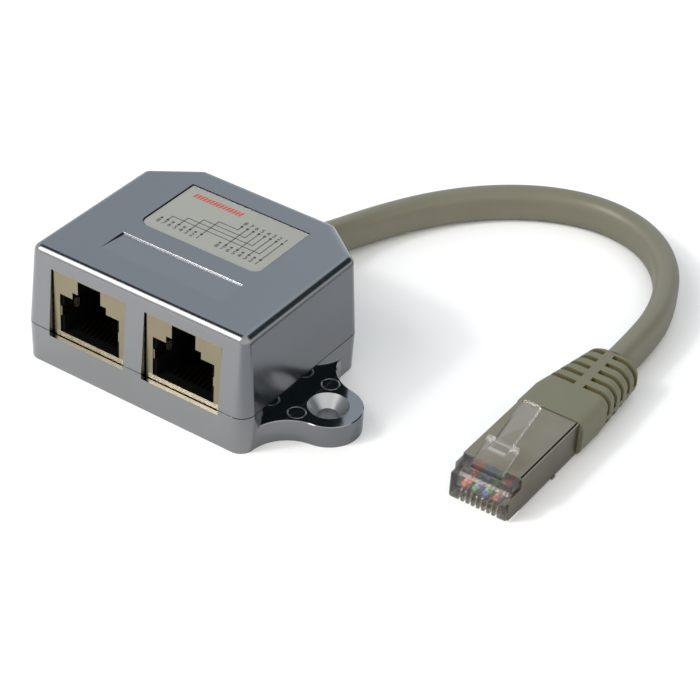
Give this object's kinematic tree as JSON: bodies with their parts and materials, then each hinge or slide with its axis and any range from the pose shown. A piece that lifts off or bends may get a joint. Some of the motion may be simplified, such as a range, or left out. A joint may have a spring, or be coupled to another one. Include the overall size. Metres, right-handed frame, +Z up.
{
  "type": "rj45 splitter adapter",
  "caption": "Plated shielded network splitter adapter with side by side sockets, a fixing lug, and a short flat cable that ends in a shielded modular plug with a moulded boot.",
  "frame": {"origin": "centre of the housing's base, without its lug", "axes": "+Z up, -Y out of the sockets, +Y out of the cable's exit, +X towards the lug and the plug"},
  "size_m": [0.0944, 0.104, 0.0238],
  "materials": {
    "plated_shell": "satin metal plating on moulded plastic",
    "label_film": "printed matt film",
    "board_laminate": "green laminate",
    "screw_steel": "zinc plated",
    "nickel_sheet": "nickel plated sheet",
    "cable_jacket": "grey beige jacket, slight sheen",
    "boot_pvc": "moulded, slight sheen",
    "plug_clear": "clear polycarbonate",
    "plug_plating": "nickel plated sheet",
    "contact_gold": "gold plated",
    "bar_clear": "clear polycarbonate",
    "black_insulator": "moulded, satin",
    "wire_white_orange": "insulation",
    "wire_orange": "insulation",
    "wire_white_green": "insulation",
    "wire_blue": "insulation",
    "wire_white_blue": "insulation",
    "wire_green": "insulation",
    "wire_white_brown": "insulation",
    "wire_brown": "insulation"
  },
  "bodies": {
    "root": {"upper_shell": "plated_shell", "lower_shell": "plated_shell", "wiring_label": "label_film", "circuit_board": "board_laminate", "shell_screws": "screw_steel", "cable_clamp": "nickel_sheet", "patch_cable": "cable_jacket", "plug_boot": "boot_pvc", "plug_body": "plug_clear", "plug_shield": "plug_plating", "plug_contacts": "contact_gold", "plug_load_bar": "bar_clear", "jack_shield_left": "nickel_sheet", "jack_shield_right": "nickel_sheet", "jack_body_left": "black_insulator", "jack_body_right": "black_insulator", "jack_contacts_left": "contact_gold", "jack_contacts_right": "contact_gold", "wire_white_orange": "wire_white_orange", "wire_orange": "wire_orange", "wire_white_green": "wire_white_green", "wire_blue": "wire_blue", "wire_white_blue": "wire_white_blue", "wire_green": "wire_green", "wire_white_brown": "wire_white_brown", "wire_brown": "wire_brown"}
  },
  "joints": []
}
